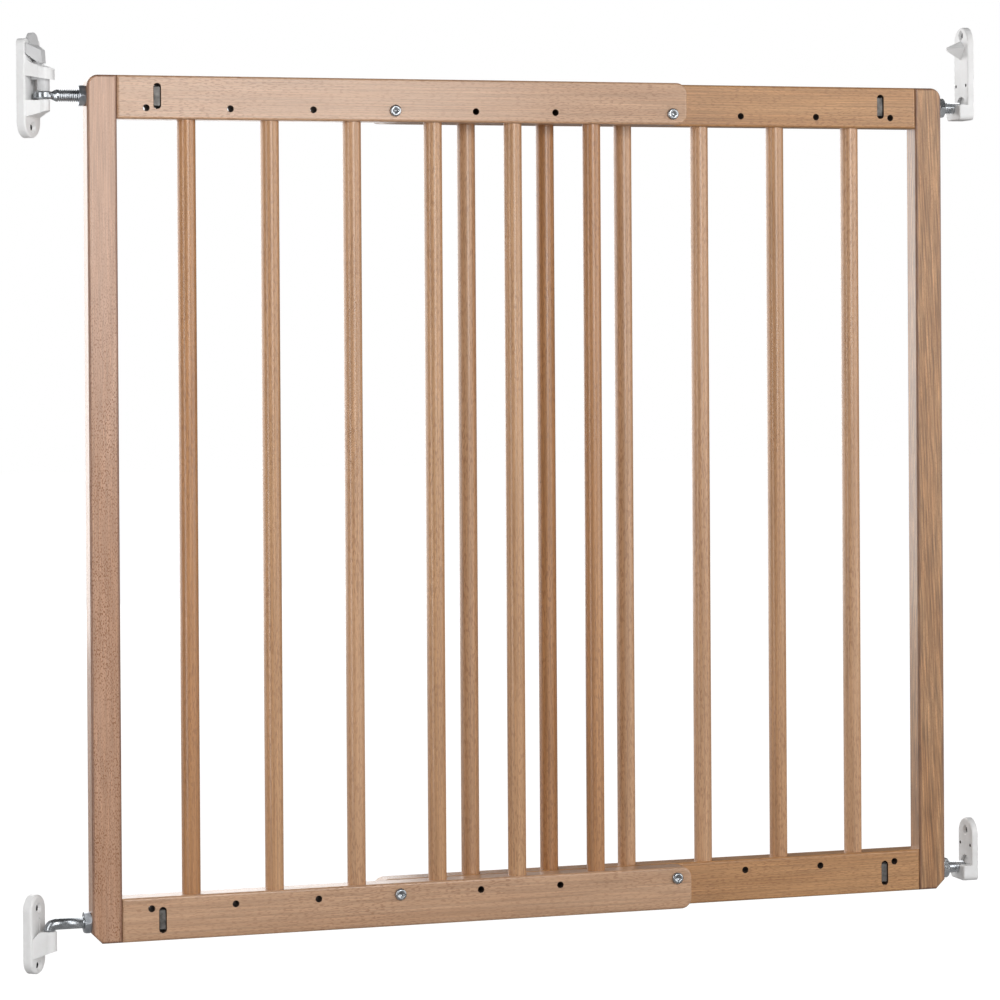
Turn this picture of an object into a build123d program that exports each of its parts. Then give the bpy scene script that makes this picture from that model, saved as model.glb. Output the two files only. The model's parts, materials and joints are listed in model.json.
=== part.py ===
from build123d import *
import os
from math import cos, radians, sin

# A wooden safety gate for a doorway: two equal barred panels bolted together to the width of the opening.
# It hangs on two hinge brackets at the left, and two studs at the right lie in open catches.
# The gate lifts out of the catches and then swings. Millimetres, X along the gate, Y through it, Z up.

os.makedirs("parts", exist_ok=True)

# Panels: a stile with an upper and a lower rail, and round bars between the rails
gate_height = 690.0
panel_thick = 20.0
stile_width = 24.0
rail_height = 35.0
corner_round = 9.0
corner_cut = 8.0
edge_round = 2.0

# Rows of holes that set the width of the gate, counted from each stile's outer face
first_hole = 47.5
hole_pitch = 68.5
hole_steps = [0, 1, 2, 3, 4, 5, 6.5]
bolted_step = 3
hole_inset = 9.0
hole_room = 0.4
rail_tail = 13.0

# Bars, tenoned into the rails
bar_count = 6
bar_dia = 15.0
tenon_dia = 11.0
tenon_length = 12.0

# Glued dowels between stile and rail
dowel_dia = 6.0
dowel_spread = 10.5
dowel_in_stile = 14.0
dowel_in_rail = 18.0

# Bolts and flanged nuts that hold the two panels together
bolt_dia = 5.0
bolt_head_dia = 9.6
bolt_head_high = 2.8
recess_span = 5.6
recess_wide = 1.3
recess_deep = 1.5
bolt_nut_flats = 8.0
bolt_nut_high = 4.5
bolt_flange_dia = 12.0
bolt_flange_high = 1.2

# Threaded spindles, the nuts outside the stiles and the square nuts held in the rail slots
spindle_inset = 16.5
spindle_dia = 9.8
rod_dia = 9.0
smooth_to = -6.6
bore_room = 0.8
spindle_depth = 70.0
bore_depth = 84.0
locknut_flats = 16.0
locknut_high = 5.5
slot_place = 56.5
square_nut_side = 17.0
square_nut_thick = 5.0
slot_room = [1.0, 3.6]
thread_gap = 0.1

# Hinge: the upper spindle ends in an eye on a post, the lower one in a bent leg that stands in a cup
hinge_reach = 33.0
rest_turn = 38.0
wall_to_axis = 17.0
hinge_plate_thick = 7.5
eye_dia = 16.0
eye_high = 6.0
eye_gap = 0.9
post_dia = 7.4
bend_radius = 5.0
leg_dia = 6.4
leg_length = 14.0
running_gap = 0.08

# Lock slider on the upper hinge bracket: its sleeve stands on the eye and keeps the gate from rising
sleeve_wall = 1.3
tongue_width = 14.5
slide_gap = 0.2

# Catches for the studs on the other wall
catch_wall = 29.0
catch_width = 28.0
catch_plate_thick = 5.5
catch_block_deep = 13.2
catch_lip = 2.5
catch_floor = -10.5
stud_reach = 22.5
screw_dia = 4.5
screw_head_dia = 8.8
pilot_dia = 2.6
pilot_spread = 20.0

# Worked-out sizes and places
hole_dia = bolt_dia + hole_room
spindle_bore = spindle_dia + bore_room
slot_wide = square_nut_thick + slot_room[0]
slot_high = square_nut_side + slot_room[1]
sleeve_dia = post_dia + 2 * sleeve_wall
rail_end = first_hole + hole_steps[-1] * hole_pitch + rail_tail
gate_width = 2 * first_hole + (hole_steps[-1] + bolted_step) * hole_pitch
upper_axis = gate_height - spindle_inset
lower_axis = spindle_inset
lower_hinge_top = 23.0
lower_hinge_bottom = -40.0
turned = Rot(0, 0, -rest_turn)
wall_centre = Vector(
    -hinge_reach - wall_to_axis * cos(radians(rest_turn)),
    wall_to_axis * sin(radians(rest_turn)),
    lower_axis + (lower_hinge_top + lower_hinge_bottom) / 2,
)
to_origin = Pos(-wall_centre.X, -wall_centre.Y, -wall_centre.Z)
back_panel = Pos(gate_width, panel_thick, 0) * Rot(0, 0, 180)


def rod_x(radius, x0, x1, z=0.0, y=0.0):
    return Pos(x0, y, z) * Rot(0, 90, 0) * Cylinder(radius, x1 - x0, align=(Align.CENTER, Align.CENTER, Align.MIN))


def rod_y(radius, y0, y1, x, z):
    return Pos(x, y0, z) * Rot(-90, 0, 0) * Cylinder(radius, y1 - y0, align=(Align.CENTER, Align.CENTER, Align.MIN))


def rod_z(radius, z0, z1, x=0.0, y=0.0):
    return Pos(x, y, z0) * Cylinder(radius, z1 - z0, align=(Align.CENTER, Align.CENTER, Align.MIN))


def block(x0, x1, y0, y1, z0, z1):
    return Pos(x0, y0, z0) * Box(x1 - x0, y1 - y0, z1 - z0, align=(Align.MIN, Align.MIN, Align.MIN))


def side_profile(outline, half_width):
    return extrude(Plane.XZ * outline, amount=half_width, both=True)


# Wooden panels, in the front panel's own frame: its stile starts at X = 0 and its middle plane is Y = 0


def board(x0, x1, z0, z1, rounded, cut=None):
    outline = Pos((x0 + x1) / 2, (z0 + z1) / 2) * Rectangle(x1 - x0, z1 - z0)
    corners = [v for v in outline.vertices() if rounded(v.X, v.Y)]
    outline = fillet(corners, corner_round)
    if cut:
        outline = chamfer([v for v in outline.vertices() if cut(v.X, v.Y)], corner_cut)
    solid = side_profile(outline, panel_thick / 2)
    faces = solid.faces().filter_by(Axis.Y)
    rim = faces[0].outer_wire().edges() + faces[1].outer_wire().edges()
    return fillet(rim, edge_round)


def stile():
    solid = board(0, stile_width, 0, gate_height, lambda x, z: x < 1 and z > 1, lambda x, z: x < 1 and z < 1)
    for z in (lower_axis, upper_axis):
        solid -= rod_x(spindle_bore / 2, -1, stile_width + 1, z)
        for dz in (-dowel_spread, dowel_spread):
            solid -= rod_x(dowel_dia / 2 + 0.05, stile_width - dowel_in_stile, stile_width + 1, z + dz)
    return solid


def rail(z0, inward):
    axis = z0 + rail_height - spindle_inset if inward < 0 else z0 + spindle_inset
    inner = z0 if inward < 0 else z0 + rail_height
    hole_row = inner - inward * hole_inset
    solid = board(stile_width, rail_end, z0, z0 + rail_height, lambda x, z: x > rail_end - 1)
    for step in hole_steps:
        solid -= rod_y(hole_dia / 2, -panel_thick, panel_thick, first_hole + step * hole_pitch, hole_row)
    for i in range(bar_count):
        x = first_hole + (i + 0.5) * hole_pitch
        ends = sorted((inner, inner - inward * (tenon_length + 0.2)))
        solid -= rod_z(tenon_dia / 2 + 0.05, ends[0], ends[1], x)
    solid -= rod_x(spindle_bore / 2, stile_width - 1, bore_depth, axis)
    slot = Pos(slot_place, axis) * SlotOverall(slot_high, slot_wide, rotation=90)
    solid -= side_profile(slot, panel_thick)
    for dz in (-dowel_spread, dowel_spread):
        solid -= rod_x(dowel_dia / 2 + 0.05, stile_width - 1, stile_width + dowel_in_rail, axis + dz)
    return solid


def bar(i):
    x = first_hole + (i + 0.5) * hole_pitch
    low, high = rail_height, gate_height - rail_height
    return rod_z(bar_dia / 2, low, high, x) + rod_z(tenon_dia / 2, low - tenon_length, high + tenon_length, x)


def dowels(z):
    x0, x1 = stile_width - dowel_in_stile, stile_width + dowel_in_rail
    pair = [rod_x(dowel_dia / 2, x0, x1, z + dz) for dz in (-dowel_spread, dowel_spread)]
    return Compound(children=[chamfer(pin.edges().filter_by(GeomType.CIRCLE), 0.8) for pin in pair])


# Fasteners


def hex_nut(flats, high, bore):
    blank = extrude(RegularPolygon(flats / 2, 6, major_radius=False), high)
    crown = Pos(0, 0, high / 2) * Cylinder(flats * 0.575, high)
    crown = chamfer(crown.edges().filter_by(GeomType.CIRCLE), flats * 0.09, flats * 0.06)
    return (blank & crown) - rod_z(bore, -1, high + 1)


def panel_bolt(x, z):
    head = rod_y(bolt_head_dia / 2, -panel_thick / 2 - bolt_head_high, -panel_thick / 2, x, z)
    head = fillet(head.edges().filter_by(GeomType.CIRCLE).group_by(Axis.Y)[0], bolt_head_high * 0.6)
    front = -panel_thick / 2 - bolt_head_high
    for turn in (0, 90):
        slot = Box(recess_span, 2 * recess_deep, recess_wide)
        head -= Pos(x, front, z) * Rot(0, turn, 0) * slot
    tip = panel_thick * 1.5 + bolt_flange_high + bolt_nut_high + 1
    return head + rod_y(bolt_dia / 2, -panel_thick / 2, tip, x, z)


def panel_nut(x, z):
    flange = rod_z(bolt_flange_dia / 2, 0, bolt_flange_high) - rod_z(bolt_dia / 2 + 0.05, -1, bolt_flange_high + 1)
    nut = flange + Pos(0, 0, bolt_flange_high) * hex_nut(bolt_nut_flats, bolt_nut_high, bolt_dia / 2 + 0.05)
    return Pos(x, panel_thick * 1.5, z) * Rot(-90, 0, 0) * nut


def locknut(z):
    nut = hex_nut(locknut_flats, locknut_high, spindle_dia / 2 + thread_gap)
    return Pos(0, 0, z) * Rot(0, -90, 0) * Rot(0, 0, 30) * nut


def square_nut(z):
    half = square_nut_side / 2
    body = block(-square_nut_thick / 2, square_nut_thick / 2, -half, half, -half, half)
    body = chamfer(body.edges().filter_by(Axis.X), 1.0)
    return Pos(slot_place, 0, z) * (body - rod_x(spindle_dia / 2 + thread_gap, -slot_wide, slot_wide))


# Spindles


def eye_spindle():
    start = -hinge_reach + eye_dia / 2
    shank = rod_x(spindle_dia / 2, start + 2, spindle_depth)
    shank = chamfer(shank.edges().filter_by(GeomType.CIRCLE).group_by(Axis.X)[-1], 1.0)
    neck = Pos(start - 2.0, 0, 0) * Rot(0, 90, 0) * Cone(
        eye_high / 2, spindle_dia / 2, 4.0, align=(Align.CENTER, Align.CENTER, Align.MIN)
    )
    ring = Pos(-hinge_reach, 0, 0) * Cylinder(eye_dia / 2, eye_high)
    ring = fillet(ring.edges().filter_by(GeomType.CIRCLE), 1.4)
    hole = Pos(-hinge_reach, 0, 0) * Cylinder(post_dia / 2 + running_gap, 3 * eye_high)
    gap = Pos(-hinge_reach, 0, 0) * Rot(0, 0, -52) * Pos(eye_dia / 2, 0, 0) * Rot(35, 0, 0) * Box(
        eye_dia, eye_gap, 4 * eye_high
    )
    return Pos(0, 0, upper_axis) * (((ring - gap) + neck + shank) - hole)


def bent_spindle():
    bend_start = -hinge_reach + bend_radius
    section = Plane.YZ.offset(bend_start) * Circle(rod_dia / 2)
    bend = revolve(section, Axis((bend_start, 0, -bend_radius), (0, -1, 0)), 90)
    bend += rod_x(rod_dia / 2, bend_start, smooth_to)
    leg_foot = -bend_radius - leg_length
    leg = rod_z(leg_dia / 2, leg_foot, -bend_radius, -hinge_reach)
    leg = chamfer(leg.edges().filter_by(GeomType.CIRCLE).group_by(Axis.Z)[0], 0.8)
    shank = rod_x(spindle_dia / 2, smooth_to, spindle_depth)
    shank = chamfer(shank.edges().filter_by(GeomType.CIRCLE).group_by(Axis.X)[-1], 1.0)
    return Pos(0, 0, lower_axis) * (bend + leg + shank)


def catch_stud(z):
    rod = rod_x(spindle_dia / 2, -stud_reach, spindle_depth)
    return Pos(0, 0, z) * chamfer(rod.edges().filter_by(GeomType.CIRCLE), 1.0)


# White mouldings. Each has its own frame: X from the wall to the gate, Y along the wall, Z from its spindle's axis


def countersunk(x_wall, x_face, y, z):
    sink = (screw_head_dia - screw_dia) / 2
    hole = rod_x(screw_dia / 2, x_wall - 1, x_face + 1, z, y)
    head = Pos(x_face - sink, y, z) * Rot(0, 90, 0) * Cone(
        screw_dia / 2, screw_head_dia / 2, sink, align=(Align.CENTER, Align.CENTER, Align.MIN)
    )
    return hole + head + rod_x(screw_head_dia / 2, x_face, x_face + 6, z, y)


def plate(x_wall, x_face, outline, softened):
    solid = extrude(Plane.YZ.offset(x_wall) * outline, x_face - x_wall)
    return fillet(solid.faces().sort_by(Axis.X)[-1].outer_wire().edges(), softened)


def lug(root_half, nose_radius, x_root, outline):
    plan = Polygon((x_root, -root_half), (0, -nose_radius), (0, nose_radius), (x_root, root_half), align=None)
    plan += Circle(nose_radius)
    deep = extrude(Pos(0, 0, -60) * plan, 140)
    return deep & side_profile(outline, 2 * root_half)


def upper_hinge_bracket():
    x_wall, x_face = -wall_to_axis, -wall_to_axis + hinge_plate_thick
    half, top, bottom = 13.0, 45.0, -33.5
    outline = Pos(0, (top + bottom + half) / 2) * Rectangle(2 * half, top - bottom - half)
    outline = fillet(outline.vertices().group_by(Axis.Y)[-1], 4.0) + Pos(0, bottom + half) * Circle(half)
    body = plate(x_wall, x_face, outline, 1.5)

    root = x_face - 1
    arm_line = Line((root, 15.5), (9, 12)) + Line((9, 12), (9, 20.5)) + Line((9, 20.5), (-3, 24.5))
    arm_line += TangentArc((-3, 24.5), (x_face, 33), tangent=(-12, 4))
    arm_line += Line((x_face, 33), (root, 33)) + Line((root, 33), (root, 15.5))
    body += lug(half - 0.5, 9.0, root, make_face(arm_line))
    foot_line = Polygon((root, -4), (5.2, -4), (5.2, -12), (root, -17.5), align=None)
    body += lug(half - 0.5, 5.2, root, foot_line)
    body += rod_z(4.8, -6, -eye_high / 2 - 0.3) + rod_z(post_dia / 2, -8, 14)

    channel = tongue_width / 2 + slide_gap
    body -= block(x_face - 2.5, 0, -channel, channel, 25.3, top + 1)
    body -= block(x_face - 2.5, -1, -3 - slide_gap, 3 + slide_gap, 8, 30)
    body -= rod_z(sleeve_dia / 2 + running_gap, 8, 40)
    body += rod_z(post_dia / 2, -8, 14)
    body -= countersunk(x_wall, x_face, 0, -25.2)
    body -= countersunk(x_wall, x_face - 2.5, 0, 36.0)
    return Pos(-hinge_reach, 0, upper_axis) * turned * body


def lock_slider():
    x_face = -wall_to_axis + hinge_plate_thick
    half = tongue_width / 2
    top, foot = 50.0, 25.8
    outline = Pos(0, (top - half + foot) / 2) * Rectangle(tongue_width, top - half - foot)
    outline += Pos(0, top - half) * Circle(half)
    tongue = extrude(Plane.YZ.offset(x_face - 2.3) * outline, 3.6)
    back = x_face + slide_gap
    plan = Polygon((back, -12), (back + 1, -12), (-1.5, 1.5), (-1.5, half), (back, half), align=None)
    cheek = Polygon((x_face, 33.6), (-3.4, foot), (-1.5, foot), (-2.2, 36), (x_face, 41.5), align=None)
    slider = tongue + (extrude(plan, top) & side_profile(cheek, 2 * tongue_width))
    slider += block(x_face - 2.3, -3, -3, 3, 12.5, foot + 1)
    sleeve = rod_z(sleeve_dia / 2, eye_high / 2 + 0.05, 21.3)
    slider += sleeve
    slider -= rod_z(post_dia / 2 + running_gap, -5, 22.5)
    return Pos(-hinge_reach, 0, upper_axis) * turned * slider


def lower_hinge_bracket():
    x_wall, x_face = -wall_to_axis, -wall_to_axis + hinge_plate_thick
    half, top, bottom = 12.0, lower_hinge_top, lower_hinge_bottom
    outline = Pos(0, (top + bottom) / 2) * SlotOverall(top - bottom, 2 * half, rotation=90)
    body = plate(x_wall, x_face, outline, 2.2)
    root = x_face - 1
    rim = -bend_radius - 0.3
    cup_line = Polygon((root, -11), (x_face, -11), (-4.6, rim), (6, rim), (6, -21), (root, -27), align=None)
    body += lug(10.0, 6.0, root, cup_line)
    groove = Pos(0, -4) * SlotOverall(18, 5.5, rotation=90)
    body -= extrude(Plane.YZ.offset(x_face - 1.0) * groove, 5)
    body += lug(10.0, 6.0, root, cup_line)
    body -= rod_z(leg_dia / 2 + running_gap, -bend_radius - leg_length - 0.6, 5)
    for z in (12.4, -33.0):
        body -= countersunk(x_wall, x_face, 0, z)
    return Pos(-hinge_reach, 0, lower_axis) * turned * body


def catch_bracket(top, screw_at, nose_at):
    half = catch_width / 2
    x_face = catch_plate_thick
    outline = Pos(0, (top - half + catch_floor) / 2) * Rectangle(catch_width, top - half - catch_floor)
    outline = fillet(outline.vertices().group_by(Axis.Y)[0], 4.0) + Pos(0, top - half) * Circle(half)
    body = plate(0, x_face, outline, 1.2)

    shelf = Pos(0, (catch_floor + catch_lip) / 2) * Rectangle(catch_width, catch_lip - catch_floor)
    shelf = fillet(shelf.vertices().group_by(Axis.Y)[0], 4.0)
    body += plate(x_face - 2, catch_block_deep, shelf, 1.2)
    seat = spindle_dia / 2 + running_gap
    body -= rod_x(seat, x_face, catch_block_deep + 1)
    body -= block(x_face, catch_block_deep + 1, -seat, seat, 0, catch_lip + 1)
    arch = Circle(10.0) - Pos(0, catch_lip - 20) * Rectangle(40, 40)
    body -= extrude(Plane.YZ.offset(x_face - 3) * arch, 10)
    if nose_at:
        base = Polygon((0, 9), (9, 2.5), (0, -9), (-9, 2.5), align=None)
        tip = Polygon((0, 1.4), (1.3, 0.4), (0, -1.4), (-1.3, 0.4), align=None)
        low_face = Plane.YZ.offset(x_face - 1) * Pos(0, nose_at) * base
        tip_face = Plane.YZ.offset(x_face + 13.4) * Pos(0, nose_at + 1) * tip
        body += loft([low_face, tip_face])
    body -= countersunk(0, x_face, 0, screw_at)
    for y in (-pilot_spread / 2, pilot_spread / 2):
        body -= rod_x(pilot_dia / 2, -1, x_face + 1, 19.5, y)
    return body


def placed_catch(z, solid):
    return Pos(gate_width + catch_wall, panel_thick, z) * Rot(0, 0, 180) * solid


# All pieces by name
nodes = {}
bolt_row_low = rail_height - hole_inset
bolt_row_high = gate_height - rail_height + hole_inset
bolt_left = first_hole + bolted_step * hole_pitch
bolt_right = first_hole + hole_steps[-1] * hole_pitch

for panel, move in (("front", Pos(0, 0, 0)), ("back", back_panel)):
    nodes[f"{panel}_stile"] = move * stile()
    nodes[f"{panel}_upper_rail"] = move * rail(gate_height - rail_height, -1)
    nodes[f"{panel}_lower_rail"] = move * rail(0, 1)
    for i in range(bar_count):
        nodes[f"{panel}_bar_{i + 1}"] = move * bar(i)
    for level, z in (("upper", upper_axis), ("lower", lower_axis)):
        nodes[f"{panel}_{level}_dowels"] = move * dowels(z)
        nodes[f"{panel}_{level}_locknut"] = move * locknut(z)
        nodes[f"{panel}_{level}_slot_nut"] = move * square_nut(z)

for level, z in (("upper", bolt_row_high), ("lower", bolt_row_low)):
    for side, x in (("left", bolt_left), ("right", bolt_right)):
        nodes[f"{level}_{side}_panel_bolt"] = panel_bolt(x, z)
        nodes[f"{level}_{side}_panel_nut"] = panel_nut(x, z)

nodes["upper_hinge_bracket"] = upper_hinge_bracket()
nodes["lock_slider"] = lock_slider()
nodes["lower_hinge_bracket"] = lower_hinge_bracket()
nodes["upper_eye_spindle"] = eye_spindle()
nodes["lower_bent_spindle"] = bent_spindle()
nodes["upper_catch_stud"] = back_panel * catch_stud(upper_axis)
nodes["lower_catch_stud"] = back_panel * catch_stud(lower_axis)
nodes["upper_catch_bracket"] = placed_catch(upper_axis, catch_bracket(70.0, 63.0, 50.0))
nodes["lower_catch_bracket"] = placed_catch(lower_axis, catch_bracket(42.0, 31.5, None))

for name, solid in nodes.items():
    export_step(to_origin * solid, f"parts/{name}.step")
print(len(nodes), "pieces, gate", round(gate_width, 2), "wide")
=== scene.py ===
import bpy
import bmesh
import json
from math import ceil, pi, radians
from mathutils import Matrix, Vector


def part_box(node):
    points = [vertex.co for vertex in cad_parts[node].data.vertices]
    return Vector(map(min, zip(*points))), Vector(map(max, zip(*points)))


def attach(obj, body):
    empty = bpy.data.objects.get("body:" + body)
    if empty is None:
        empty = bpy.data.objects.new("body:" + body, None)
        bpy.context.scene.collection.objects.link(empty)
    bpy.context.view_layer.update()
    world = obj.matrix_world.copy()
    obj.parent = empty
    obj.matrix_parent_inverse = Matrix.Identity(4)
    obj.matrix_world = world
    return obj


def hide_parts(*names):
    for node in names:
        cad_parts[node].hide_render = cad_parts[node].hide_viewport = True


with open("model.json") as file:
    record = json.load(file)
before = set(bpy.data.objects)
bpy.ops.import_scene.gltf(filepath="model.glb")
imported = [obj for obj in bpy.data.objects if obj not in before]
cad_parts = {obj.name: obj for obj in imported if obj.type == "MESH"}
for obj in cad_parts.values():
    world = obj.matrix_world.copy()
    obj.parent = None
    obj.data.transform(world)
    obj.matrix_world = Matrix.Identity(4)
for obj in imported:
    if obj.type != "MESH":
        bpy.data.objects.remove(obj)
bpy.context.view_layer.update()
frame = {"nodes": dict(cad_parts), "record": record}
nodes = frame["nodes"]
mounts = {mount["name"]: mount for mount in frame["record"]["mounts"]}
print("frame loaded,", len(nodes), "pieces")


def middleOf(node):
    low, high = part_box(node)
    return (low + high) / 2


def opaque(colour):
    return (*colour, 1.0)


# node helpers: make a node at a place on the sheet and set its sockets by name
def addNode(tree, kind, place, settings=None, sockets=None):
    node = tree.nodes.new(kind)
    node.location = place
    for key, value in (settings or {}).items():
        setattr(node, key, value)
    for key, value in (sockets or {}).items():
        node.inputs[key].default_value = value
    return node


def feed(tree, value, socket):
    if isinstance(value, bpy.types.NodeSocket):
        tree.links.new(value, socket)
    else:
        socket.default_value = value


def newGroup(name, vectors, values, outputs):
    group = bpy.data.node_groups.new(name, "ShaderNodeTree")
    for label in vectors:
        group.interface.new_socket(name=label, in_out="INPUT", socket_type="NodeSocketVector")
    for label in values:
        group.interface.new_socket(name=label, in_out="INPUT", socket_type="NodeSocketFloat")
    for label in outputs:
        group.interface.new_socket(name=label, in_out="OUTPUT", socket_type="NodeSocketFloat")
    start = addNode(group, "NodeGroupInput", (-1200, 0))
    end = addNode(group, "NodeGroupOutput", (900, 0))
    return group, start, end


def stretched(tree, source, place, scale):
    node = addNode(tree, "ShaderNodeMapping", place, {"vector_type": "POINT"}, {"Scale": scale})
    tree.links.new(source, node.inputs["Vector"])
    return node.outputs["Vector"]


# long in a pattern is its scale along the grain, beside 1 across it
def noiseOf(tree, vector, place, pattern):
    if "long" in pattern:
        vector = stretched(tree, vector, (place[0] - 250, place[1]), (1.0, 1.0, pattern["long"]))
    sockets = {"Scale": pattern["scale"], "Detail": pattern["detail"],
               "Roughness": pattern.get("roughness", 0.5), "Distortion": pattern.get("distortion", 0.0)}
    node = addNode(tree, "ShaderNodeTexNoise", place, None, sockets)
    tree.links.new(vector, node.inputs["Vector"])
    return node.outputs["Fac"]


def remapped(tree, value, place, span, result=(0.0, 1.0)):
    sockets = {"From Min": span[0], "From Max": span[1], "To Min": result[0], "To Max": result[1]}
    node = addNode(tree, "ShaderNodeMapRange", place, {"clamp": True}, sockets)
    tree.links.new(value, node.inputs["Value"])
    return node.outputs["Result"]


def combined(tree, operation, values, place, clamp=True):
    node = addNode(tree, "ShaderNodeMath", place, {"operation": operation, "use_clamp": clamp})
    for value, socket in zip(values, node.inputs):
        feed(tree, value, socket)
    return node.outputs["Value"]


def measured(tree, operation, values, place):
    return combined(tree, operation, values, place, clamp=False)


def vectorOf(tree, operation, values, place):
    node = addNode(tree, "ShaderNodeVectorMath", place, {"operation": operation})
    for value, socket in zip(values, node.inputs):
        feed(tree, value, socket)
    return node.outputs["Value" if operation == "LENGTH" else "Vector"]


def mixedColour(tree, factor, first, second, place, blend="MIX"):
    node = addNode(tree, "ShaderNodeMix", place, {"data_type": "RGBA", "blend_type": blend})
    sockets = {socket.identifier: socket for socket in node.inputs}
    for label, value in (("Factor_Float", factor), ("A_Color", first), ("B_Color", second)):
        feed(tree, value, sockets[label])
    return next(socket for socket in node.outputs if socket.identifier == "Result_Color")


# beech figure, with the grain along Z of the vector that comes in; span is the part of a pattern that is used
beechGrain = {
    "broad": {"long": 0.06, "scale": 48.0, "detail": 4.0, "roughness": 0.55, "distortion": 0.5,
              "span": (0.32, 0.68)},
    "fine": {"long": 0.022, "scale": 420.0, "detail": 3.0, "roughness": 0.65, "distortion": 0.3,
             "span": (0.30, 0.70)},
    "dash": {"long": 0.28, "scale": 720.0, "detail": 0.5, "roughness": 0.4, "distortion": 0.2,
             "span": (0.545, 0.605)},
    "patch": {"long": 0.3, "scale": 26.0, "detail": 2.0, "span": (0.36, 0.58), "result": (0.45, 1.0)},
    "pore": {"long": 0.05, "scale": 1500.0, "detail": 2.0, "roughness": 0.6},
    "ring": {"long": 0.045, "span": (0.45, 0.98)},
}
yearRings = {"Scale": 96.0, "Distortion": 9.0, "Detail": 3.0, "Detail Scale": 0.8, "Detail Roughness": 0.6}


def makeBeechFigure():
    group, start, end = newGroup("beechFigure", ["Coords"], ["Fleck Density"],
                                 ["Tone", "Ring", "Streak", "Fleck", "Pore"])
    coords = start.outputs["Coords"]
    shelves = {"broad": 500, "fine": 250, "dash": 0, "patch": -250, "pore": -500}
    noises = {label: noiseOf(group, coords, (-700, shelf), beechGrain[label])
              for label, shelf in shelves.items()}

    def used(label, value, shelf):
        pattern = beechGrain[label]
        return remapped(group, value, (-450, shelf), pattern["span"], pattern.get("result", (0.0, 1.0)))

    wave = addNode(group, "ShaderNodeTexWave", (-700, 750),
                   {"wave_type": "RINGS", "rings_direction": "Z", "wave_profile": "SAW"}, yearRings)
    ringCoords = stretched(group, coords, (-950, 750), (1.0, 1.0, beechGrain["ring"]["long"]))
    group.links.new(ringCoords, wave.inputs["Vector"])
    dashes = (used("dash", noises["dash"], 0), used("patch", noises["patch"], -250))
    spread = combined(group, "MULTIPLY", dashes, (-200, -50))
    results = {
        "Tone": used("broad", noises["broad"], 500),
        "Ring": used("ring", wave.outputs["Fac"], 750),
        "Streak": used("fine", noises["fine"], 250),
        "Fleck": combined(group, "MULTIPLY", (spread, start.outputs["Fleck Density"]), (0, -50)),
        "Pore": noises["pore"],
    }
    for label, value in results.items():
        group.links.new(value, end.inputs[label])
    return group


# painted shade inside the bored holes and the nut slots of a rail, on raw unlacquered wood; sizes in metres
railBores = {"pitch": 0.0685, "radius": 0.00272, "eachSide": 3, "slotReach": 0.0073, "slotRadius": 0.00305,
             "softEdge": 0.00015}
rowHeights = [middleOf(node).z for node in ("lower_left_panel_bolt", "upper_left_panel_bolt")]
slotHeights = [middleOf(node).z for node in ("front_lower_slot_nut", "front_upper_slot_nut")]


def makePaintedBoreShade():
    group, start, end = newGroup("paintedBoreShade", ["Coords"], ["Row Middle", "Slot"], ["Inside"])
    axes = addNode(group, "ShaderNodeSeparateXYZ", (-1000, 0))
    group.links.new(start.outputs["Coords"], axes.inputs["Vector"])
    along, pitch = axes.outputs["X"], railBores["pitch"]

    def nearest(heights, top):
        gaps = []
        for step, height in enumerate(heights):
            shelf = top - 150 * step
            away = measured(group, "SUBTRACT", (axes.outputs["Z"], height), (-800, shelf))
            gaps.append(measured(group, "ABSOLUTE", [away], (-600, shelf)))
        return measured(group, "MINIMUM", gaps, (-400, top))

    def within(across, up, radius, top):
        pair = addNode(group, "ShaderNodeCombineXYZ", (0, top))
        group.links.new(across, pair.inputs["X"])
        group.links.new(up, pair.inputs["Y"])
        reach = vectorOf(group, "LENGTH", [pair.outputs["Vector"]], (200, top))
        return remapped(group, reach, (400, top), (radius, radius + railBores["softEdge"]), (1.0, 0.0))

    # the wrap repeats one hole along the row, which ends after eachSide pitches
    alongRow = measured(group, "SUBTRACT", (along, start.outputs["Row Middle"]), (-800, 400))
    wrapped = measured(group, "WRAP", (alongRow, pitch, 0.0), (-600, 400))
    fromHole = measured(group, "SUBTRACT", (wrapped, pitch / 2), (-400, 400))
    nearHole = within(fromHole, nearest(rowHeights, 200), railBores["radius"], 300)
    distance = measured(group, "ABSOLUTE", [alongRow], (-600, 600))
    inRow = measured(group, "LESS_THAN", (distance, pitch * railBores["eachSide"]), (-400, 600))
    inHole = measured(group, "MULTIPLY", (nearHole, inRow), (550, 300))
    fromSlot = measured(group, "SUBTRACT", (along, start.outputs["Slot"]), (-800, -200))
    beyond = measured(group, "SUBTRACT", (nearest(slotHeights, -350), railBores["slotReach"]), (-200, -350))
    past = measured(group, "MAXIMUM", (beyond, 0.0), (-50, -350))
    inSlot = within(fromSlot, past, railBores["slotRadius"], -250)
    group.links.new(measured(group, "MAXIMUM", (inHole, inSlot), (650, 0)), end.inputs["Inside"])
    return group


# the arrises of a squared board: near an edge, two of the three depths below its faces are small
arrisFade = (0.4, 1.0)  # shares of the width between which the dark line fades


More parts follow.
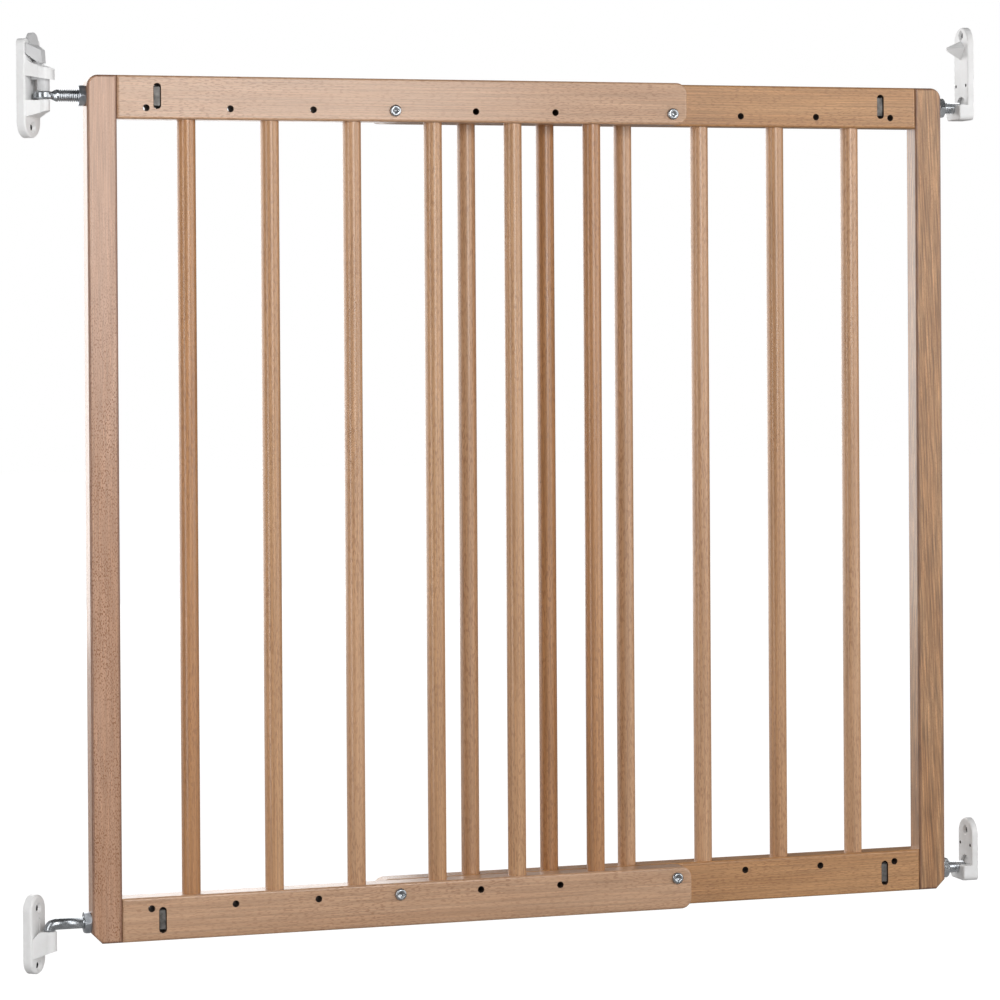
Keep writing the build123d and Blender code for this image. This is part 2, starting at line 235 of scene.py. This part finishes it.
def makeArrisShade():
    group, start, end = newGroup("arrisShade", ["Coords", "Centre", "Half"], ["Width"], ["Edge"])
    arm = vectorOf(group, "SUBTRACT", (start.outputs["Coords"], start.outputs["Centre"]), (-1000, 100))
    reach = vectorOf(group, "ABSOLUTE", [arm], (-800, 100))
    depth = vectorOf(group, "SUBTRACT", (start.outputs["Half"], reach), (-600, 100))
    depths = addNode(group, "ShaderNodeSeparateXYZ", (-400, 100))
    group.links.new(depth, depths.inputs["Vector"])
    across, through, along = (depths.outputs[axis] for axis in "XYZ")
    smaller = combined(group, "MINIMUM", (across, through), (-200, 250))
    larger = combined(group, "MAXIMUM", (across, through), (-200, 50))
    inner = combined(group, "MINIMUM", (larger, along), (0, -50))
    second = combined(group, "MAXIMUM", (smaller, inner), (200, 100))
    share = measured(group, "DIVIDE", (second, start.outputs["Width"]), (400, 100))
    group.links.new(remapped(group, share, (600, 100), arrisFade, (1.0, 0.0)), end.inputs["Edge"])
    return group


# the shadowed inside of one hole: near the place and close to the axis through it
holeDepth = (0.007, 0.008)  # distances from the place between which the shade fades


def makeHoleShade():
    group, start, end = newGroup("holeShade", ["Coords", "Place", "Axis"], ["Radius"], ["Inside"])
    arm = vectorOf(group, "SUBTRACT", (start.outputs["Coords"], start.outputs["Place"]), (-950, 100))
    lever = vectorOf(group, "CROSS_PRODUCT", (arm, start.outputs["Axis"]), (-700, 200))
    fromAxis = vectorOf(group, "LENGTH", [lever], (-450, 200))
    fromPlace = vectorOf(group, "LENGTH", [arm], (-450, -100))
    close = measured(group, "LESS_THAN", (fromAxis, start.outputs["Radius"]), (-200, 200))
    nearby = remapped(group, fromPlace, (-200, -100), holeDepth, (1.0, 0.0))
    group.links.new(combined(group, "MULTIPLY", (close, nearby), (100, 0)), end.inputs["Inside"])
    return group


# zinc plating: faint clouds and handling marks; moulded plastic: flow marks and a satin grain from the mould
skinPatterns = {
    "zincSkin": {"Cloud": {"scale": 190.0, "detail": 3.0, "span": (0.3, 0.7)},
                 "Dulling": {"scale": 520.0, "detail": 4.0, "roughness": 0.6, "span": (0.3, 0.7)},
                 "Grain": {"scale": 2600.0, "detail": 2.0}},
    "mouldedSkin": {"Flow": {"scale": 75.0, "detail": 3.0, "distortion": 0.6, "span": (0.3, 0.7)},
                    "Satin": {"scale": 260.0, "detail": 2.0, "span": (0.3, 0.7)},
                    "Grain": {"scale": 3200.0, "detail": 2.0, "roughness": 0.6}},
}


def makeSkin(name):
    patterns = skinPatterns[name]
    group, start, end = newGroup(name, ["Coords"], [], list(patterns))
    for step, (label, pattern) in enumerate(patterns.items()):
        shelf = 300 - 250 * step
        value = noiseOf(group, start.outputs["Coords"], (-700, shelf), pattern)
        if "span" in pattern:
            value = remapped(group, value, (-450, shelf), pattern["span"])
        group.links.new(value, end.inputs[label])
    return group


beechFigure = makeBeechFigure()
paintedBoreShade = makePaintedBoreShade()
arrisShade = makeArrisShade()
zincSkin = makeSkin("zincSkin")
mouldedSkin = makeSkin("mouldedSkin")
holeShade = makeHoleShade()
print("shader groups made")


def newMaterial(name):
    material = bpy.data.materials.new(name)
    material.use_nodes = True
    tree = material.node_tree
    shader = tree.nodes["Principled BSDF"]
    shader.location = (900, 0)
    tree.nodes["Material Output"].location = (1250, 0)
    coords = addNode(tree, "ShaderNodeTexCoord", (-1100, 0)).outputs["Object"]
    return material, tree, shader, coords


def placedGroup(tree, group, vector, place, values=None):
    node = addNode(tree, "ShaderNodeGroup", place)
    node.node_tree = group
    tree.links.new(vector, node.inputs["Coords"])
    for label, value in (values or {}).items():
        node.inputs[label].default_value = value
    return node


def addBump(tree, shader, height, bump):
    node = addNode(tree, "ShaderNodeBump", (600, -400), None,
                   {"Strength": bump["strength"], "Distance": bump["distance"]})
    tree.links.new(height, node.inputs["Height"])
    tree.links.new(node.outputs["Normal"], shader.inputs["Normal"])


# the boards: colours are linear; grain and tilt turn the pattern along the board, fine and stretch set its
# size, fleck, ring and streak are depths, and rowMiddle and slot are places along the gate of a rail's holes
# and nut slot; the flecks of the front stile thin out between the heights fullBelow and clearAbove
beechBoards = {
    "frontStileBeech": {
        "grain": "up", "fine": 2.1, "stretch": 1.25, "fleck": 1.0, "ring": 0.10, "streak": 0.30,
        "pale": (0.590, 0.350, 0.228), "deep": (0.494, 0.268, 0.156), "shift": (0.02, 0.07, 0.0),
        "clearAbove": 0.60, "fullBelow": 0.44, "clearFleck": 0.2, "edgesOf": "front_stile", "sheen": 0.52},
    "backStileBeech": {
        "grain": "up", "tilt": 2.5, "fine": 1.35, "stretch": 2.2, "fleck": 0.25, "ring": 0.30, "streak": 0.62,
        "pale": (0.655, 0.362, 0.172), "deep": (0.495, 0.242, 0.100), "shift": (-0.71, 0.03, 0.4),
        "edgesOf": "back_stile"},
    "frontRailBeech": {
        "grain": "along", "fine": 1.55, "stretch": 0.75, "fleck": 0.50, "ring": 0.14, "streak": 0.26,
        "pale": (0.630, 0.390, 0.240), "deep": (0.540, 0.312, 0.178), "shift": (0.05, 0.11, 0.2),
        "rowMiddle": middleOf("upper_left_panel_bolt").x - railBores["pitch"] / 2,
        "slot": middleOf("front_upper_slot_nut").x},
    "backRailBeech": {
        "grain": "along", "fine": 1.55, "stretch": 0.75, "fleck": 0.50, "ring": 0.18, "streak": 0.30,
        "pale": (0.610, 0.328, 0.142), "deep": (0.505, 0.250, 0.097), "shift": (-0.08, 0.04, 0.9),
        "rowMiddle": middleOf("upper_right_panel_bolt").x + railBores["pitch"] / 2,
        "slot": middleOf("back_upper_slot_nut").x},
    "honeyBarBeech": {
        "grain": "up", "fine": 1.45, "stretch": 0.75, "fleck": 0.45, "ring": 0.14, "streak": 0.26,
        "pale": (0.620, 0.348, 0.173), "deep": (0.518, 0.268, 0.121), "shift": (0.3, 0.2, 0.1)},
    "paleBarBeech": {
        "grain": "up", "fine": 1.45, "stretch": 0.75, "fleck": 0.45, "ring": 0.12, "streak": 0.26,
        "pale": (0.653, 0.382, 0.209), "deep": (0.545, 0.295, 0.146), "shift": (0.1, 0.5, 0.6)},
    "brownBarBeech": {
        "grain": "up", "fine": 1.45, "stretch": 0.75, "fleck": 0.50, "ring": 0.16, "streak": 0.28,
        "pale": (0.570, 0.284, 0.117), "deep": (0.475, 0.219, 0.082), "shift": (0.2, 0.3, 0.3)},
}
beechLook = {
    "fleckColour": (0.245, 0.100, 0.038),
    # painted shade: the near-black colour inside the rails' bores and nut slots
    "boreShadeColour": (0.060, 0.029, 0.013),
    "arrisColour": (0.150, 0.068, 0.040),
    "arrisWidth": 0.0026,
    "arrisDepth": (0.90, 0.45),
    "poreSpan": (0.3, 0.7),
    "rough": (0.34, 0.46),
    "sheen": 0.66,
    "lacquer": 0.36,
    "lacquerRough": 0.16,
    "bump": {"strength": 0.05, "distance": 0.0004},
}


def boardFigure(tree, coords, board):
    lean = -90 if board["grain"] == "along" else board.get("tilt", 0.0)
    turn = addNode(tree, "ShaderNodeMapping", (-900, 0), {"vector_type": "POINT"},
                   {"Location": board["shift"], "Rotation": (0.0, radians(lean), 0.0)})
    tree.links.new(coords, turn.inputs["Vector"])
    fine = board["fine"]
    drawn = stretched(tree, turn.outputs["Vector"], (-800, -200), (fine, fine, fine * board["stretch"]))
    figure = placedGroup(tree, beechFigure, drawn, (-650, 0), {"Fleck Density": board["fleck"]})
    if "clearAbove" in board:
        height = addNode(tree, "ShaderNodeSeparateXYZ", (-900, -500))
        tree.links.new(coords, height.inputs["Vector"])
        thinned = remapped(tree, height.outputs["Z"], (-750, -500), (board["fullBelow"], board["clearAbove"]),
                           (board["fleck"], board["clearFleck"]))
        tree.links.new(thinned, figure.inputs["Fleck Density"])
    return figure.outputs


def edgeMask(tree, coords, board, streak):
    low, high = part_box(board["edgesOf"])
    arris = placedGroup(tree, arrisShade, coords, (-650, -700), {
        "Centre": (low + high) / 2, "Half": (high - low) / 2, "Width": beechLook["arrisWidth"]})
    uneven = remapped(tree, streak, (-350, -700), (0.0, 1.0), beechLook["arrisDepth"])
    return combined(tree, "MULTIPLY", (arris.outputs["Edge"], uneven), (-150, -700))


def makeBeech(name, board):
    material, tree, shader, coords = newMaterial(name)
    figure = boardFigure(tree, coords, board)
    colour = mixedColour(tree, figure["Tone"], opaque(board["deep"]), opaque(board["pale"]), (-350, 250))
    ring = remapped(tree, figure["Ring"], (-350, 500), (0.0, 1.0), (1.0, 1.0 - board["ring"]))
    colour = mixedColour(tree, 1.0, colour, ring, (-150, 350), "MULTIPLY")
    streak = remapped(tree, figure["Streak"], (-350, 0), (0.0, 1.0), (1.0 - board["streak"], 1.0))
    colour = mixedColour(tree, 1.0, colour, streak, (50, 250), "MULTIPLY")
    colour = mixedColour(tree, figure["Fleck"], colour, opaque(beechLook["fleckColour"]), (250, 250))
    if "edgesOf" in board:
        edge = edgeMask(tree, coords, board, figure["Streak"])
        colour = mixedColour(tree, edge, colour, opaque(beechLook["arrisColour"]), (350, 450))
    rough = remapped(tree, figure["Pore"], (250, -100), beechLook["poreSpan"], beechLook["rough"])
    lacquer = beechLook["lacquer"]
    # painted shade: the rails' bores and nut slots are coloured near-black and lose their lacquer
    if "slot" in board:
        bored = placedGroup(tree, paintedBoreShade, coords, (-650, 700),
                            {"Row Middle": board["rowMiddle"], "Slot": board["slot"]})
        inside = bored.outputs["Inside"]
        colour = mixedColour(tree, inside, colour, opaque(beechLook["boreShadeColour"]), (450, 450))
        rough = combined(tree, "MAXIMUM", (rough, inside), (450, 50))
        lacquer = remapped(tree, inside, (450, 700), (0.0, 1.0), (beechLook["lacquer"], 0.0))
    feed(tree, lacquer, shader.inputs["Coat Weight"])
    tree.links.new(colour, shader.inputs["Base Color"])
    tree.links.new(rough, shader.inputs["Roughness"])
    shader.inputs["Specular IOR Level"].default_value = board.get("sheen", beechLook["sheen"])
    shader.inputs["Coat Roughness"].default_value = beechLook["lacquerRough"]
    height = combined(tree, "SUBTRACT", (figure["Pore"], figure["Fleck"]), (250, -400))
    addBump(tree, shader, height, beechLook["bump"])
    return material


zincFinishes = {
    "nutZinc": {"bright": (0.50, 0.52, 0.55), "dull": (0.32, 0.34, 0.37), "rough": (0.28, 0.44)},
    # painted shade: the nuts sitting in the rails' slots get a much darker copy of the zinc
    "slotNutZinc": {"bright": (0.22, 0.21, 0.20), "dull": (0.09, 0.085, 0.08), "rough": (0.46, 0.62)},
    "spindleZinc": {"bright": (0.48, 0.50, 0.52), "dull": (0.33, 0.35, 0.37), "rough": (0.22, 0.36)},
    # painted highlight: the right-hand catch studs and back locknuts get a brighter copy of the zinc
    "litStudZinc": {"bright": (0.80, 0.82, 0.84), "dull": (0.56, 0.58, 0.60), "rough": (0.16, 0.30)},
    "boltZinc": {"bright": (0.52, 0.54, 0.56), "dull": (0.30, 0.32, 0.34), "rough": (0.22, 0.38)},
}
zincBump = {"strength": 0.05, "distance": 0.0001}


def makeZinc(name, finish):
    material, tree, shader, coords = newMaterial(name)
    skin = placedGroup(tree, zincSkin, coords, (-650, 0)).outputs
    colour = mixedColour(tree, skin["Cloud"], opaque(finish["dull"]), opaque(finish["bright"]), (-300, 250))
    tree.links.new(colour, shader.inputs["Base Color"])
    rough = remapped(tree, skin["Dulling"], (-300, -50), (0.0, 1.0), finish["rough"])
    tree.links.new(rough, shader.inputs["Roughness"])
    shader.inputs["Metallic"].default_value = 1.0
    addBump(tree, shader, skin["Grain"], zincBump)
    return material


mouldings = {
    "whiteMoulding": {"clean": (0.82, 0.82, 0.82), "shade": (0.76, 0.755, 0.75), "rough": (0.30, 0.42),
                      "hole": (0.035, 0.035, 0.037)},
    # painted shade: the lock slider is a greyer copy of the white moulding, standing in for its shaded cheek
    # and tab
    "shadeGreySlider": {"clean": (0.60, 0.60, 0.605), "shade": (0.56, 0.56, 0.565), "rough": (0.34, 0.46)},
}
mouldedSheen = 0.45
mouldedBump = {"strength": 0.04, "distance": 0.00015}

# the holes of the fittings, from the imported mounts; the lower catch's screw hole has no mount, so its height
# stands here
screwHoles = {"radius": 0.0024, "lowerCatchHeight": 0.0400}
pinHoles = {"radius": 0.0014, "fromMiddle": 0.010}


def fittingHoles():
    holes = []
    for name in ("lower_hinge_screw_top", "lower_hinge_screw_bottom", "upper_hinge_screw_bottom",
                 "upper_catch_screw"):
        holes.append((Vector(mounts[name]["pos_m"]), mounts[name]["axis"], screwHoles["radius"]))
    upperScrew, wallAxis, radius = holes[-1]
    holes.append((Vector((upperScrew.x, upperScrew.y, screwHoles["lowerCatchHeight"])), wallAxis, radius))
    for name in ("upper_catch_pins", "lower_catch_pins"):
        for aside in (-pinHoles["fromMiddle"], pinHoles["fromMiddle"]):
            place = Vector(mounts[name]["pos_m"]) + Vector((0.0, aside, 0.0))
            holes.append((place, mounts[name]["axis"], pinHoles["radius"]))
    return holes


def makeMoulding(name, finish):
    material, tree, shader, coords = newMaterial(name)
    skin = placedGroup(tree, mouldedSkin, coords, (-650, 0)).outputs
    colour = mixedColour(tree, skin["Flow"], opaque(finish["shade"]), opaque(finish["clean"]), (-300, 250))
    # painted shade: the insides of the fittings' screw and pin holes are coloured dark
    if "hole" in finish:
        for step, (place, axis, radius) in enumerate(fittingHoles()):
            shade = placedGroup(tree, holeShade, coords, (-300 + step * 120, 500),
                                {"Place": place, "Axis": axis, "Radius": radius})
            colour = mixedColour(tree, shade.outputs["Inside"], colour, opaque(finish["hole"]),
                                 (-200 + step * 120, 250))
    tree.links.new(colour, shader.inputs["Base Color"])
    rough = remapped(tree, skin["Satin"], (-300, -50), (0.0, 1.0), finish["rough"])
    tree.links.new(rough, shader.inputs["Roughness"])
    shader.inputs["Specular IOR Level"].default_value = mouldedSheen
    addBump(tree, shader, skin["Grain"], mouldedBump)
    return material


finishes = {name: makeBeech(name, board) for name, board in beechBoards.items()}
finishes.update({name: makeZinc(name, finish) for name, finish in zincFinishes.items()})
finishes.update({name: makeMoulding(name, finish) for name, finish in mouldings.items()})
print("materials made:", ", ".join(finishes))

# which finish each CAD piece wears
barTints = {"front": ["brown", "honey", "pale", "honey", "honey", "brown"],
            "back": ["pale", "honey", "pale", "pale", "brown", "pale"]}


def finishFor(name):
    panel = name.split("_")[0]
    if name.endswith("_stile"):
        return "frontStileBeech" if panel == "front" else "backStileBeech"
    if name.endswith("_rail"):
        return "frontRailBeech" if panel == "front" else "backRailBeech"
    if "_bar_" in name:
        return barTints[panel][int(name.split("_")[-1]) - 1] + "BarBeech"
    if name.endswith("_dowels"):
        return "paleBarBeech"
    if name == "lock_slider":
        return "shadeGreySlider"
    if name.endswith("_bracket"):
        return "whiteMoulding"
    if name.endswith("_bolt"):
        return "boltZinc"
    if name.endswith("_slot_nut"):
        return "slotNutZinc"
    if name.endswith("_catch_stud") or (panel == "back" and name.endswith("_locknut")):
        return "litStudZinc"
    if name.endswith("nut"):
        return "nutZinc"
    return "spindleZinc"


for name, piece in nodes.items():
    for holder in piece.material_slots:
        holder.material = finishes[finishFor(name)]
print("finishes on all CAD pieces")


# threaded rods: one groove outline, in shares of the pitch, is spun up the rod, trimmed and capped
threadOutline = ((0.0, "root"), (0.16, "root"), (0.46, "crest"), (0.70, "crest"), (1.0, "root"))


def capCut(bm, point, normal):
    everything = bm.verts[:] + bm.edges[:] + bm.faces[:]
    cut = bmesh.ops.bisect_plane(bm, geom=everything, plane_co=point, plane_no=normal, clear_outer=True)
    rim = [item for item in cut["geom_cut"] if isinstance(item, bmesh.types.BMEdge)]
    bmesh.ops.holes_fill(bm, edges=rim, sides=0)


def threadedRod(spec, place):
    bm = bmesh.new()
    pitch, length = spec["pitch"], spec["length"]
    turns = ceil(length / pitch) + 2
    outline = [bm.verts.new((spec[level], 0.0, (share - 1.5) * pitch)) for share, level in threadOutline]
    lines = [bm.edges.new(pair) for pair in zip(outline, outline[1:])]
    bmesh.ops.spin(bm, geom=outline + lines, cent=(0, 0, 0), axis=(0, 0, 1), angle=2 * pi,
                   dvec=(0, 0, pitch / spec["sides"]), steps=spec["sides"], use_merge=False)
    stacked = 1
    while stacked < turns:  # each pass doubles the number of turns
        again = bmesh.ops.duplicate(bm, geom=bm.verts[:] + bm.edges[:] + bm.faces[:])
        raised = [item for item in again["geom"] if isinstance(item, bmesh.types.BMVert)]
        bmesh.ops.translate(bm, vec=(0, 0, pitch * stacked), verts=raised)
        stacked *= 2
    bmesh.ops.remove_doubles(bm, verts=bm.verts, dist=pitch * 0.02)
    capCut(bm, (0, 0, 0), (0, 0, -1))
    capCut(bm, (0, 0, length), (0, 0, 1))
    for vert in bm.verts:  # pointed ends
        inset = min(vert.co.z + spec["startPoint"], length - vert.co.z)
        allowed = spec["crest"] - spec["point"] + max(inset, 0.0)
        reach = vert.co.xy.length
        if reach > allowed:
            vert.co.x *= allowed / reach
            vert.co.y *= allowed / reach
    bmesh.ops.recalc_face_normals(bm, faces=bm.faces)
    bmesh.ops.transform(bm, matrix=place, verts=bm.verts)
    return bm


def trimmedCopy(node, point, normal):
    bm = bmesh.new()
    bm.from_mesh(nodes[node].data)
    bmesh.ops.remove_doubles(bm, verts=bm.verts, dist=0.000002)
    capCut(bm, point, normal)
    bmesh.ops.recalc_face_normals(bm, faces=bm.faces)
    return bm


def finishedPiece(name, parts, finish, sharp, body, node):
    whole = bmesh.new()
    for bm in parts:
        spare = bpy.data.meshes.new("spare")
        bm.to_mesh(spare)
        bm.free()
        whole.from_mesh(spare)
        bpy.data.meshes.remove(spare)
    mesh = bpy.data.meshes.new(name)
    whole.to_mesh(mesh)
    whole.free()
    mesh.shade_smooth()
    mesh.set_sharp_from_angle(angle=radians(sharp))
    mesh.materials.append(finishes[finish])
    piece = bpy.data.objects.new(name, mesh)
    bpy.context.scene.collection.objects.link(piece)
    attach(piece, body)
    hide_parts(node)
    return piece


# a rod along +X or +Y from its start point
def alongX(start):
    return Matrix.Translation(start) @ Matrix.Rotation(radians(90), 4, "Y")


def alongY(start):
    return Matrix.Translation(start) @ Matrix.Rotation(radians(-90), 4, "X")


# the CAD's eye and bent leg are kept up to cutAt, and the rod beyond is threaded; the two share the overlap
spindleThread = {"pitch": 0.0015, "crest": 0.0049, "root": 0.00402, "sides": 28, "point": 0.0010,
                 "startPoint": 0.002, "sharp": 32, "overlap": 0.0002}
eyeSpindle = {"node": "upper_eye_spindle", "locknut": "front_upper_locknut", "cutAt": 0.0245}
bentSpindle = {"node": "lower_bent_spindle", "locknut": "front_lower_locknut", "cutAt": 0.0400}
for name, spec in (("eyeSpindle", eyeSpindle), ("bentSpindle", bentSpindle)):
    node, cutAt = spec["node"], spec["cutAt"]
    axis = middleOf(spec["locknut"])
    low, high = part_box(node)
    thread = dict(spindleThread, length=high.x - cutAt)
    rod = threadedRod(thread, alongX((cutAt, axis.y, axis.z)))
    bend = trimmedCopy(node, (cutAt + thread["overlap"], 0, 0), (1, 0, 0))
    finishedPiece(name, [bend, rod], "spindleZinc", thread["sharp"], "hinge_spindles", node)

for level in ("upper", "lower"):
    node = level + "_catch_stud"
    axis = middleOf(f"back_{level}_locknut")
    low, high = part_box(node)
    thread = dict(spindleThread, length=high.x - low.x, startPoint=0.0)
    rod = threadedRod(thread, alongX((low.x, axis.y, axis.z)))
    name, body = level + "CatchStud", level + "_stud"
    finishedPiece(name, [rod], "litStudZinc", thread["sharp"], body, node)
print("threaded spindles and studs made")

panelBolt = {"pitch": 0.0008, "crest": 0.0025, "root": 0.00204, "sides": 20, "point": 0.0005,
             "startPoint": 0.001, "sharp": 32, "overlap": 0.0001, "length": 0.0165}
for level in ("upper", "lower"):
    for side in ("left", "right"):
        node = f"{level}_{side}_panel_bolt"
        low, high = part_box(node)
        centre = (low + high) / 2
        threadStart = high.y - panelBolt["length"]
        rod = threadedRod(panelBolt, alongY((centre.x, threadStart, centre.z)))
        head = trimmedCopy(node, (0, threadStart + panelBolt["overlap"], 0), (0, 1, 0))
        name = f"{level}{side.capitalize()}PanelBolt"
        finishedPiece(name, [head, rod], "boltZinc", panelBolt["sharp"], "gate", node)
print("panel bolts made")


# floor and air: the camera sees plain pale surroundings, and the gate is lit by a weaker bounce
def seenOrLit(tree, seen, lit, outputKind):
    path = addNode(tree, "ShaderNodeLightPath", (0, 500))
    blend = addNode(tree, "ShaderNodeMixShader", (400, 100))
    out = addNode(tree, outputKind, (600, 100))
    tree.links.new(path.outputs["Is Camera Ray"], blend.inputs["Fac"])
    tree.links.new(lit, blend.inputs[1])
    tree.links.new(seen, blend.inputs[2])
    tree.links.new(blend.outputs["Shader"], out.inputs["Surface"])


floorLook = {"middle": (0.4, 0.0, -0.052), "half": 9.0, "bounce": (0.45, 0.45, 0.45),
             "shown": (0.10, 0.10, 0.10), "glow": 1.0}
bm = bmesh.new()
bmesh.ops.create_grid(bm, x_segments=1, y_segments=1, size=floorLook["half"])
bmesh.ops.translate(bm, vec=floorLook["middle"], verts=bm.verts)
floorMesh = bpy.data.meshes.new("paleFloor")
bm.to_mesh(floorMesh)
bm.free()
floor = bpy.data.objects.new("paleFloor", floorMesh)
bpy.context.scene.collection.objects.link(floor)
floorMaterial = bpy.data.materials.new("paleFloorPaint")
floorMaterial.use_nodes = True
paint = floorMaterial.node_tree
paint.nodes.clear()
shownPaint = addNode(paint, "ShaderNodeBsdfDiffuse", (0, 200), None, {"Color": opaque(floorLook["shown"])})
shownGlow = addNode(paint, "ShaderNodeEmission", (0, 50), None, {"Strength": floorLook["glow"]})
shownSum = addNode(paint, "ShaderNodeAddShader", (200, 150))
paint.links.new(shownPaint.outputs["BSDF"], shownSum.inputs[0])
paint.links.new(shownGlow.outputs["Emission"], shownSum.inputs[1])
bouncePaint = addNode(paint, "ShaderNodeBsdfDiffuse", (0, -150), None, {"Color": opaque(floorLook["bounce"])})
seenOrLit(paint, shownSum.outputs["Shader"], bouncePaint.outputs["BSDF"], "ShaderNodeOutputMaterial")
floorMesh.materials.append(floorMaterial)

studio = {"colour": (1.0, 1.0, 1.0), "seen": 1.0, "ambient": 0.10}
world = bpy.data.worlds.new("studioAir")
bpy.context.scene.world = world
world.use_nodes = True
air = world.node_tree
air.nodes.clear()
airSeen, airLit = (addNode(air, "ShaderNodeBackground", place, None,
                           {"Color": opaque(studio["colour"]), "Strength": studio[level]})
                   for level, place in (("seen", (0, -50)), ("ambient", (0, 150))))
seenOrLit(air, airSeen.outputs["Background"], airLit.outputs["Background"], "ShaderNodeOutputWorld")

# the key stands tall at the front, so that its lower edge lets the shine fade down the bars
softBoxes = {
    "keyBox": {"place": (0.65, -2.65, 1.20), "aim": (0.40, 0.0, 0.5), "size": (1.15, 1.8), "power": 40.0},
    "cornerBox": {"place": (-0.58, -0.55, 0.45), "aim": (0.05, 0.0, 0.36), "size": (0.25, 1.0), "power": 3.4},
    "rightBox": {"place": (2.40, -1.30, 0.80), "aim": (0.40, 0.0, 0.4), "size": (2.2, 1.6), "power": 26.0},
    "backWall": {"place": (-1.10, 2.30, 0.90), "aim": (0.40, 0.0, 0.6), "size": (6.0, 3.2), "power": 145.0},
}
for name, box in softBoxes.items():
    lamp = bpy.data.lights.new(name, "AREA")
    lamp.shape = "RECTANGLE"
    lamp.size, lamp.size_y = box["size"]
    lamp.energy = box["power"]
    holder = bpy.data.objects.new(name, lamp)
    holder.location = box["place"]
    ray = Vector(box["aim"]) - Vector(box["place"])
    holder.rotation_euler = ray.to_track_quat("-Z", "Y").to_euler()
    holder.visible_camera = False
    bpy.context.scene.collection.objects.link(holder)

photoCamera = {"place": (-0.43290, -2.68807, 0.49020), "turn": (89.6562, 0.3701, -17.0912), "lens": 122.324,
               "sensor": 36.0, "shift": -0.16574, "farthest": 60.0}
cameraData = bpy.data.cameras.new("photoCamera")
cameraData.sensor_width = photoCamera["sensor"]
cameraData.lens = photoCamera["lens"]
cameraData.shift_y = photoCamera["shift"]
cameraData.clip_end = photoCamera["farthest"]
camera = bpy.data.objects.new("photoCamera", cameraData)
camera.location = photoCamera["place"]
camera.rotation_euler = [radians(angle) for angle in photoCamera["turn"]]
bpy.context.scene.collection.objects.link(camera)
bpy.context.scene.camera = camera
bpy.context.scene.view_settings.view_transform = "Standard"
print("floor, light and camera set")
